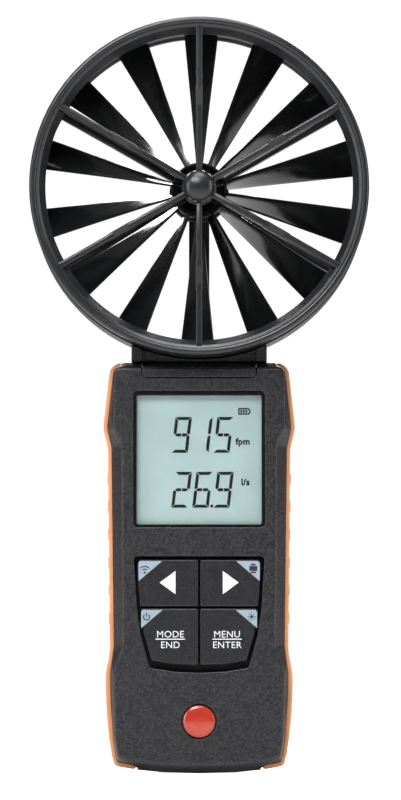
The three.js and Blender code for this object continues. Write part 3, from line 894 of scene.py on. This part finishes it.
def segment_outlines(segment, tight=0.12):
    """One segment of a digit as bars with mitred ends, standing on z = 0; the middle one is split."""
    w, h, s = DIGIT_WIDTH, DIGIT_HEIGHT, DIGIT_STROKE
    m = h / 2
    bars = {
        "a": [(tight, h), (w - tight, h), (w - s - tight, h - s), (s + tight, h - s)],
        "d": [(tight, 0), (s + tight, s), (w - s - tight, s), (w - tight, 0)],
        "f": [(0, h - tight), (s, h - s - tight), (s, m + s / 2 + tight), (s / 2, m + tight), (0, m + s / 2)],
        "b": [(w, h - tight), (w - s, h - s - tight), (w - s, m + s / 2 + tight), (w - s / 2, m + tight),
              (w, m + s / 2)],
        "e": [(0, tight), (s, s + tight), (s, m - s / 2 - tight), (s / 2, m - tight), (0, m - s / 2)],
        "c": [(w, tight), (w - s, s + tight), (w - s, m - s / 2 - tight), (w - s / 2, m - tight),
              (w, m - s / 2)],
    }
    if segment != "g":
        return [bars[segment]]
    middle = w / 2
    half = s / 2
    left = [(half + tight, m), (s + tight, m - half), (middle - 0.13, m - half), (middle - 0.13, m + half),
            (s + tight, m + half)]
    return [left, [(w - x, z) for x, z in reversed(left)]]


def write_digits(text, bottom):
    solid = Solid()
    for i, digit in enumerate(text):
        left = DIGIT_LEFT + i * DIGIT_PITCH
        for segment in SEGMENTS[digit]:
            for bar in segment_outlines(segment):
                points = [Vector((left + x + DIGIT_SLANT * z, bottom + z)) for x, z in bar]
                slab(solid, points, LCD_Y, INK)
    return solid


def lettering(name, text, size, x, z, y, material, body, align="LEFT", weight=0.0):
    """Generic words in the built-in font, as a thin raised mesh facing the reader."""
    curve = bpy.data.curves.new(name, "FONT")
    curve.body = text
    curve.size = size * MM
    curve.align_x = align
    curve.offset = weight * MM
    curve.space_character = 1.06
    curve.extrude = INK * MM / 2
    curve.resolution_u = 3
    letters = bpy.data.objects.new(name + "_curve", curve)
    bpy.context.scene.collection.objects.link(letters)
    graph = bpy.context.evaluated_depsgraph_get()
    mesh = bpy.data.meshes.new_from_object(letters.evaluated_get(graph))
    bpy.data.objects.remove(letters)
    for vertex in mesh.vertices:
        across, up, out = vertex.co
        vertex.co = (across + x * MM, (y - INK / 2) * MM - out, up + z * MM)
    mesh.name = name
    piece = bpy.data.objects.new(name, mesh)
    bpy.context.scene.collection.objects.link(piece)
    return settle(piece, material, body)


def build_display():
    frame_front = window_low.y - 0.1
    outer = rectangle(SCREEN_HALF - 0.05, SCREEN_BOTTOM + 0.05, SCREEN_TOP - 0.05, 1.4)
    inner = rectangle(SCREEN_HALF - 1.0, SCREEN_BOTTOM + 0.9, SCREEN_TOP - 1.3, 0.6)
    bezel = Solid().loft([
        plane_ring(outer, LCD_Y + 1.6), plane_ring(outer, frame_front + 0.2),
        plane_ring(offset(outer, -0.2), frame_front), plane_ring(offset(inner, 0.15), frame_front),
        plane_ring(inner, frame_front + 0.15), plane_ring(inner, LCD_Y + 1.6),
    ], closed=True)
    make(bezel, "display_bezel", "bezel", "housing")
    glass = plaque(offset(inner, -0.05), window_low.y + 0.3, window_high.y, 0.1, 3)
    make(glass, "display_window_fine", "window", "housing", ["display_window"])
    panel = plaque(offset(inner, 0.2), LCD_Y, lcd_high.y, 0.1, 3)
    make(panel, "lcd_panel_fine", "lcd", "housing", ["lcd_panel"])


def build_reading():
    """The digits, their units and the battery symbol on the display."""
    make(write_digits("915", 99.0), "lcd_digits_upper", "digit", "housing")
    lower = write_digits("269", 82.0)
    slab(lower, dot(3.9, 82.5, 0.5), LCD_Y, INK)
    make(lower, "lcd_digits_lower", "digit", "housing")
    lettering("lcd_unit_speed", "fpm", 2.8, 11.3, 101.6, LCD_Y, "digit", "housing", weight=0.1)
    lettering("lcd_unit_flow", "l/s", 2.75, 13.0, 89.0, LCD_Y, "digit", "housing", weight=0.1)
    make(battery_symbol(), "lcd_battery_icon", "digit", "housing")


def battery_symbol():
    battery = Solid()
    case = [Vector(p) for p in ((12.1, 110.8), (15.3, 110.8), (15.9, 111.4), (15.9, 112.3), (15.3, 112.9),
                                (12.1, 112.9))]
    inside = offset(case, -0.42)
    battery.loft([plane_ring(case, LCD_Y), plane_ring(case, LCD_Y - INK),
                  plane_ring(inside, LCD_Y - INK), plane_ring(inside, LCD_Y)], True)
    for i in range(3):
        left = 12.8 + i * 0.78
        cell = ((left, 111.35), (left + 0.5, 111.35), (left + 0.5, 112.35), (left, 112.35))
        slab(battery, [Vector(p) for p in cell], LCD_Y, INK)
    return battery


# ---------------------------------------------------------------- keys
def key_outline(upper, side):
    """Outline of one key: right-hand side first, mirrored for the left."""
    m = KEY_MIDDLE
    if upper:
        points = [(m, key_low.z), (18.3, key_low.z), (19.25, 64.2), (18.5, key_high.z), (m, key_high.z)]
    else:
        points = [(m, menu_low.z + 0.1), (8, 33.6), (14.7, 34.7), (17.1, 43), (18.15, menu_high.z),
                  (m, menu_high.z)]
    if side < 0:
        points = [(-x, z) for x, z in reversed(points)]
    return fillet(points, 0.7, 4)


def mark(name, outlines, material, body, y):
    """Printed marks on a key, from a list of outlines."""
    solid = Solid()
    for outline in outlines:
        slab(solid, [Vector(p) for p in outline], y, INK)
    return make(solid, name, material, body)


def arrow(side):
    x, z, half, reach = 9.75 * side, 58.8, 3.6, 2.46
    points = [(x - side * reach, z - half), (x + side * reach, z), (x - side * reach, z + half)]
    return points if side > 0 else list(reversed(points))


def corner_patch(side, upper):
    """The blue triangle in the outer top corner of a key."""
    top = (key_high if upper else menu_high).z - 0.45
    outer, wide, high = (18.7, 7.3, 6.2) if upper else (17.9, 6.6, 5.6)
    points = [(outer - wide, top), (outer, top - high), (outer, top - 0.5), (outer - 0.5, top)]
    return [(side * x, z) for x, z in (points if side > 0 else reversed(points))]


def stroke(points, width):
    """An open line of the given width, as one outline."""
    left = []
    right = []
    for i, p in enumerate(points):
        before = points[max(i - 1, 0)]
        after = points[min(i + 1, len(points) - 1)]
        along = (after - before).normalized() * width / 2
        left.append((p.x - along.y, p.y + along.x))
        right.append((p.x + along.y, p.y - along.x))
    return right + left[::-1]


def ring_stroke(cx, cz, radius, start, end, width):
    return stroke(arc(cx, cz, radius, start, end, 14), width)


def icons():
    """Small generic symbols: wireless arcs, a printer, a power mark and a light."""
    wireless = [ring_stroke(-16.8, 61.9, r, 45, 135, 0.34) for r in (1.0, 1.9)]
    wireless.append(dot(-16.8, 61.9, 0.35))
    printer = [
        [(15.5, 62.4), (17.9, 62.4), (17.9, 63.9), (15.5, 63.9)],
        [(16.0, 64.1), (17.4, 64.1), (17.4, 64.6), (16.0, 64.6)],
        [(15.9, 61.7), (17.5, 61.7), (17.5, 62.2), (15.9, 62.2)],
    ]
    power = [
        ring_stroke(-16.2, 48.2, 0.95, 130, 410, 0.32),
        [(-16.36, 48.2), (-16.04, 48.2), (-16.04, 49.55), (-16.36, 49.55)],
    ]
    lamp = Vector((16.2, 48.3))
    light = [dot(*lamp, 0.5)]
    for i in range(8):
        ray = Vector((math.cos(i * math.pi / 4), math.sin(i * math.pi / 4)))
        light.append(stroke([lamp + ray * 0.8, lamp + ray * 1.25], 0.24))
    return {"left_key": wireless, "right_key": printer, "mode_key": power, "menu_key": light}


def build_keys():
    symbols = icons()
    layout = (("left_key", "key_left", True, -1), ("right_key", "key_right", True, 1),
              ("mode_key", "key_mode", False, -1), ("menu_key", "key_menu", False, 1))
    for body, node, upper, side in layout:
        cap = plaque(key_outline(upper, side), KEY_FRONT, KEY_BACK, 0.5)
        make(cap, f"{node}_fine", "key", body, [node])
        mark(f"{node}_patch", [corner_patch(side, upper)], "blue_ink", body, KEY_FRONT)
        mark(f"{node}_icon", symbols[body], "dark_ink", body, KEY_FRONT - INK)
        if upper:
            mark(f"{node}_arrow", [arrow(side)], "white_ink", body, KEY_FRONT)
    label_key("mode_key", "key_mode", ("MODE", "END"), -8.9)
    label_key("menu_key", "key_menu", ("MENU", "ENTER"), 8.6)


def label_key(body, node, words, x):
    """Two generic words, one above the other, with a line between them."""
    for word, z in zip(words, (41.9, 38.6)):
        lettering(f"{node}_word_{word.lower()}", word, 2.9, x, z, KEY_FRONT, "white_ink",
                  body, "CENTER", 0.005)
    half = 4.55
    line = [(x - half, 41.2), (x + half, 41.2), (x + half, 41.5), (x - half, 41.5)]
    mark(f"{node}_line", [line], "white_ink", body, KEY_FRONT)


# ---------------------------------------------------------------- small parts
def build_badge():
    face = badge_low.y
    profile = [
        (0, face, 0),
        (2, face + 0.08, 3),
        (BADGE_R - 1.0, face + 0.42, 2),
        (BADGE_R - 0.15, face + 0.95, 0.3),
        (BADGE_R - 0.15, badge_high.y, 0.1),
        (0, badge_high.y, 0),
    ]
    turned("badge_dome", fillet(profile, 0.3), "badge", ["badge"], 72, cz=BADGE_Z)


def finish_cad_nodes():
    """Materials for the CAD nodes that stay, with their edges eased."""
    looks = {
        "shell_rear": "charcoal", "battery_door": "charcoal", "battery_tray": "charcoal",
        "lcd_backlight": "backlight", "main_board": "board", "key_mat": "silicone",
        "contact_plate": "steel", "rotor_shaft": "steel", "pickup_coil": "brass",
        "bearing_front": "brass", "bearing_rear": "brass",
    }
    looks.update({f"battery_cell_{i}": "sleeve" for i in (1, 2, 3)})
    looks.update({f"housing_screw_{i}": "steel" for i in (1, 2, 3, 4)})
    for name, material in looks.items():
        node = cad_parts[name]
        node.data.materials.clear()
        node.data.materials.append(MATERIALS[material])
        weld = node.modifiers.new("weld", "WELD")
        weld.merge_threshold = 2e-6
        flat = node.modifiers.new("flat", "DECIMATE")
        flat.decimate_type = "DISSOLVE"
        flat.angle_limit = math.radians(1)
        ease = node.modifiers.new("ease", "BEVEL")
        ease.width = 0.25 * MM
        ease.segments = 2
        ease.limit_method = "ANGLE"
        ease.angle_limit = math.radians(40)
        ease.harden_normals = True


# ---------------------------------------------------------------- stage
CAMERA = Vector((0.42, -1473, 27))
TARGET = Vector((0.42, RIM_FRONT, 114.75))
LENS = 212.5


LIGHTS = {
    "key_light": ((-120, -270, 400), (0, -15, 150), (260, 150), 1.5),
    "top_light": ((0, -120, 760), (0, 0, 130), (420, 420), 4.4),
    "left_strip": ((-620, -260, 200), (0, 0, 130), (160, 520), 1.5),
    "right_strip": ((640, -200, 240), (0, 0, 130), (160, 520), 1.5),
    "back_light": ((0, 700, 500), (0, 0, 120), (600, 300), 5),
}
FLOOR_HALF = 900


def aim(thing, place, target):
    thing.location = Vector(place) * MM
    thing.rotation_euler = (Vector(target) - Vector(place)).to_track_quat("-Z", "Y").to_euler()


def glow(tree, socket, lighting, seen):
    """Strength of a white surface or sky: dim as a light, bright where the camera sees it."""
    ray = tree.nodes.new("ShaderNodeLightPath")
    strength = tree.nodes.new("ShaderNodeMapRange")
    strength.inputs["To Min"].default_value = lighting
    strength.inputs["To Max"].default_value = seen
    tree.links.new(ray.outputs["Is Camera Ray"], strength.inputs["Value"])
    tree.links.new(strength.outputs["Result"], socket)


def area_light(name, place, target, size, power):
    """A rectangular lamp; place, target and size in millimetres, power in watts."""
    light = bpy.data.lights.new(name, "AREA")
    light.shape = "RECTANGLE"
    light.size = size[0] * MM
    light.size_y = size[1] * MM
    light.energy = power
    lamp = bpy.data.objects.new(name, light)
    bpy.context.scene.collection.objects.link(lamp)
    aim(lamp, place, target)


def build_floor():
    solid = Solid()
    outline = arc(0, 0, FLOOR_HALF, 0, 354, 59)
    solid.loft([[(p.x, p.y, 0) for p in outline], [(p.x, p.y, -6) for p in outline]])
    mesh = bpy.data.meshes.new("floor")
    mesh.from_pydata([Vector(v) * MM for v in solid.verts], [], solid.faces)
    floor = bpy.data.objects.new("floor", mesh)
    bpy.context.scene.collection.objects.link(floor)
    material = new_material("floor_white", (0.9, 0.9, 0.9), 0.9)
    vary_colour(material, noise(material, 0.02, 2), (0.88, 0.88, 0.88), (0.92, 0.92, 0.92))
    shader = material.node_tree.nodes["Principled BSDF"]
    shader.inputs["Emission Color"].default_value = (1, 1, 1, 1)
    glow(material.node_tree, shader.inputs["Emission Strength"], 0.12, 0.9)
    mesh.materials.append(material)


def build_world():
    world = bpy.data.worlds.new("studio")
    bpy.context.scene.world = world
    world.use_nodes = True
    background = world.node_tree.nodes["Background"]
    background.inputs["Color"].default_value = (1, 1, 1, 1)
    glow(world.node_tree, background.inputs["Strength"], 0.11, 1.05)


def build_stage():
    build_floor()
    build_world()
    for name, setting in LIGHTS.items():
        area_light(name, *setting)
    camera = bpy.data.cameras.new("camera")
    camera.lens = LENS
    camera.clip_start = 0.01
    viewer = bpy.data.objects.new("camera", camera)
    bpy.context.scene.collection.objects.link(viewer)
    aim(viewer, CAMERA, TARGET)
    bpy.context.scene.camera = viewer
    bpy.context.scene.view_settings.view_transform = "Standard"


build_duct()
build_guards()
build_nose()
build_pod()
build_hub()
build_blades()
build_front_shell()
build_grip(1)
build_grip(-1)
build_saddle()
build_pillars()
build_tongue()
build_display()
build_reading()
build_keys()
build_badge()
finish_cad_nodes()
build_stage()
